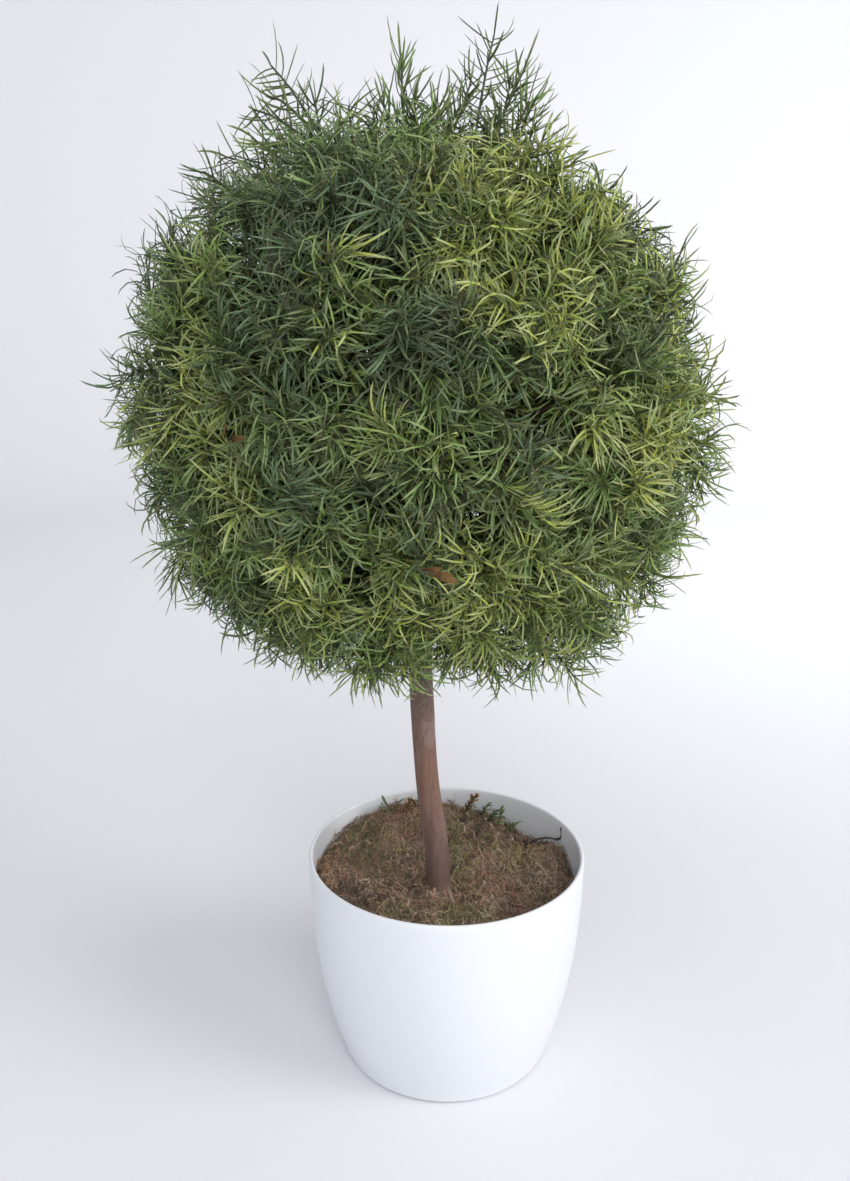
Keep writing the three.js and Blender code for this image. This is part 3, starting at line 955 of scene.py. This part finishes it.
chance = np.random.default_rng(23)
spires = {name: grow_spire(name) for name in SPRIGS}
spire_sets = [np.concatenate([spires[name][part] for name in spires]) for part in range(3)]
sprigs = len(spire_sets[0])
spire_tone = np.clip(np.round(chance.normal(2.8, 0.9, sprigs)), 1, DARKEST).astype(int)
spire_count = (np.linalg.norm(spire_sets[2] - spire_sets[0], axis=1) / SPRIG_SPACING).astype(int)
spire_bare = np.full(sprigs, SPRIG_BARE)
spire_wide = np.ones(sprigs)
spire_needles = clothe(spire_sets, spire_tone, spire_bare, spire_count, spire_wide, SPIRE_HABIT, chance)
spire_piece = needle_piece("needles_spires", *spire_needles)
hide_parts(*spires)
spire_limbs = limbs(spire_sets, SPRIG_RADII, sides=6, steps=8)
spire_stems = mesh_piece("spire_stems", *spire_limbs, [spray_stem_finish])

# The odd bits: leafy sprigs, strap-like blades and a dark bare twig from the forest floor, which stand
# in the moss, and a few dead brown leaves caught at two places between the ball's sprays.

LEAFY = {"length": (3.0 * MM, 5.0 * MM), "width": (1.0 * MM, 1.5 * MM),
         "tip_lean": 0.5, "more_lean": 0.6, "curl": -0.4, "vary": 0.4, "sweep": 0.2}
STRAPPY = {"length": (10 * MM, 14 * MM), "width": (1.3 * MM, 1.7 * MM),
           "tip_lean": 0.25, "more_lean": 0.3, "curl": 0.9, "vary": 0.4, "sweep": 0.4}
DEAD_LEAF = {"length": (8 * MM, 10 * MM), "width": (2.4 * MM, 3.0 * MM),
             "tip_lean": 0.1, "more_lean": 0.1, "curl": 0.2, "vary": 0.1, "sweep": 0.05}

# Each bit's habit, its tone, how many leaves it has, and where its stem starts, bends and ends in mm.
BITS = [
    (STRAPPY, 4, 5, (-27, 45, 103), (-28, 45, 106), (-30, 44, 109)),
    (LEAFY, 6, 14, (-17, 46, 103), (-22, 45, 109), (-19, 44, 114)),
    (LEAFY, 6, 12, (-10, 47, 103), (-13, 46, 109), (-16, 44, 112)),
    (LEAFY, 4, 9, (-11, 46, 104), (-11, 46, 110), (-14, 45, 115)),
    (LEAFY, 6, 16, (12, 46, 104), (13, 46, 111), (17, 45, 116)),
    (LEAFY, 5, 12, (19, 45, 101), (21, 45, 107), (23, 44, 111)),
    (LEAFY, 5, 12, (24, 44, 99), (25, 44, 105), (28, 43, 108)),
    (LEAFY, 3, 13, (28, 43, 97), (31, 43, 103), (31, 42, 109)),
    (LEAFY, 3, 10, (33, 42, 95), (36, 42, 99), (40, 41, 102)),
    (LEAFY, 4, 10, (-54, 20, 92), (-55, 20, 95), (-58, 20, 96)),
    (LEAFY, 1, 12, (-33, -43, 82), (-35, -43, 85), (-39, -42, 87)),
    (DEAD_LEAF, 6, 3, (-13, -124, 289), (-10, -125, 289), (-7, -126, 288)),
    (DEAD_LEAF, 6, 2, (-86, -97, 333), (-83, -100, 333), (-81, -102, 333)),
]
BIT_RADII = (0.35 * MM, 0.2 * MM)
# The bare twig and the hook at its end, each by where it starts, bends and ends in mm.
BARE_TWIG = [
    [(42, 31, 92), (50, 28, 103), (60, 27, 100)],
    [(60, 27, 100), (64, 27, 100), (62, 27, 107)],
]
BARE_TWIG_RADII = (0.7 * MM, 0.45 * MM)


def curves_through(lines):
    """The starts, bends and ends of lines that are given in mm."""
    return [np.array([line[part] for line in lines]) * MM for part in range(3)]


chance = np.random.default_rng(31)
bit_leaves = []
for habit, tone, leaves, *line in BITS:
    single = [np.array([value]) for value in (tone, 0.1, leaves, 1.0)]  # tone, bare share, leaves, width
    bit_leaves.append(clothe(curves_through([line]), *single, habit, chance))
bit_points, bit_tones = (np.concatenate(part) for part in zip(*bit_leaves))
bits = needle_piece("odd_leaves", bit_points, bit_tones)
bit_limbs = limbs(curves_through([line for _, _, _, *line in BITS]), BIT_RADII, sides=5, steps=5)
bit_stems = mesh_piece("odd_stems", *bit_limbs, [spray_stem_finish])
dead_wood = plain_finish("dead_wood", (0.050, 0.030, 0.030), 0.7)
twig_limbs = limbs(curves_through(BARE_TWIG), BARE_TWIG_RADII, sides=6, steps=7)
bare_twig = mesh_piece("bare_twig", *twig_limbs, [dead_wood])

# The place it stands in: matt white paper that sweeps up into a round wall, under a soft bluish sky. A
# large soft lamp from the right is the strongest, one from the front and one overhead fill in, and a
# fourth lights the wall behind.

FLOOR_RADIUS = 1.5  # in metres, as are the next two
WALL_CURVE = 0.9
WALL_TOP = 2.2
WALL_STEPS = 24
WALL_SIDES = 96
sweep = [(0, 0), (FLOOR_RADIUS, 0)]
for angle in np.linspace(0, pi / 2, WALL_STEPS)[1:]:
    sweep.append((FLOOR_RADIUS + WALL_CURVE * sin(angle), WALL_CURVE * (1 - cos(angle))))
sweep.append((FLOOR_RADIUS + WALL_CURVE, WALL_TOP))
sweep_points = turned(np.array(sweep), WALL_SIDES)
sweep_faces = [ring_faces(len(sweep), WALL_SIDES)[:, ::-1]]
paper = plain_finish("paper", (0.755, 0.76, 0.78), 0.9, 0.1)
backdrop = mesh_object("backdrop", sweep_points, sweep_faces, [paper])
weld(backdrop)

world = bpy.data.worlds.new("soft_sky")
world.use_nodes = True
background = world.node_tree.nodes["Background"]
background.inputs["Color"].default_value = (0.93, 0.95, 1.0, 1)
background.inputs["Strength"].default_value = 0.59
bpy.context.scene.world = world


def lamp(name, place, target, size, power, colour, beam=180):
    """A round soft lamp at a place, turned to a target. The beam is its spread in degrees."""
    light = bpy.data.lights.new(name, "AREA")
    light.shape = "DISK"
    light.size = size
    light.energy = power
    light.color = colour
    light.spread = radians(beam)
    thing = bpy.data.objects.new(name, light)
    thing.location = place
    thing.rotation_euler = (Vector(target) - Vector(place)).to_track_quat("-Z", "Y").to_euler()
    bpy.context.scene.collection.objects.link(thing)


lamp("key", (1.82, -0.75, 1.2), (0, 0, 0.2), 1.2, 23.8, (1.0, 0.985, 0.97))
lamp("front", (0.3, -1.9, 1.3), (0, 0, 0.2), 1.2, 15, (1.0, 0.99, 0.98))
lamp("overhead", (-0.1, -0.9, 1.7), (0, 0, 0.1), 1.2, 6, (0.93, 0.96, 1.0))
lamp("wall_wash", (0.9, 0.4, 1.3), (0.55, 2.1, 0.15), 0.8, 9.6, (1.0, 0.985, 0.98), beam=130)

CAMERA_DOWN = 15.66  # degrees below level
camera = bpy.data.cameras.new("camera")
camera.lens = 32
camera_thing = bpy.data.objects.new("camera", camera)
camera_thing.location = (-0.0109, -0.4823, 0.3823)
camera_thing.rotation_euler = (radians(90 - CAMERA_DOWN), 0, 0)
bpy.context.scene.collection.objects.link(camera_thing)
bpy.context.scene.camera = camera_thing
bpy.context.scene.view_settings.view_transform = "Standard"
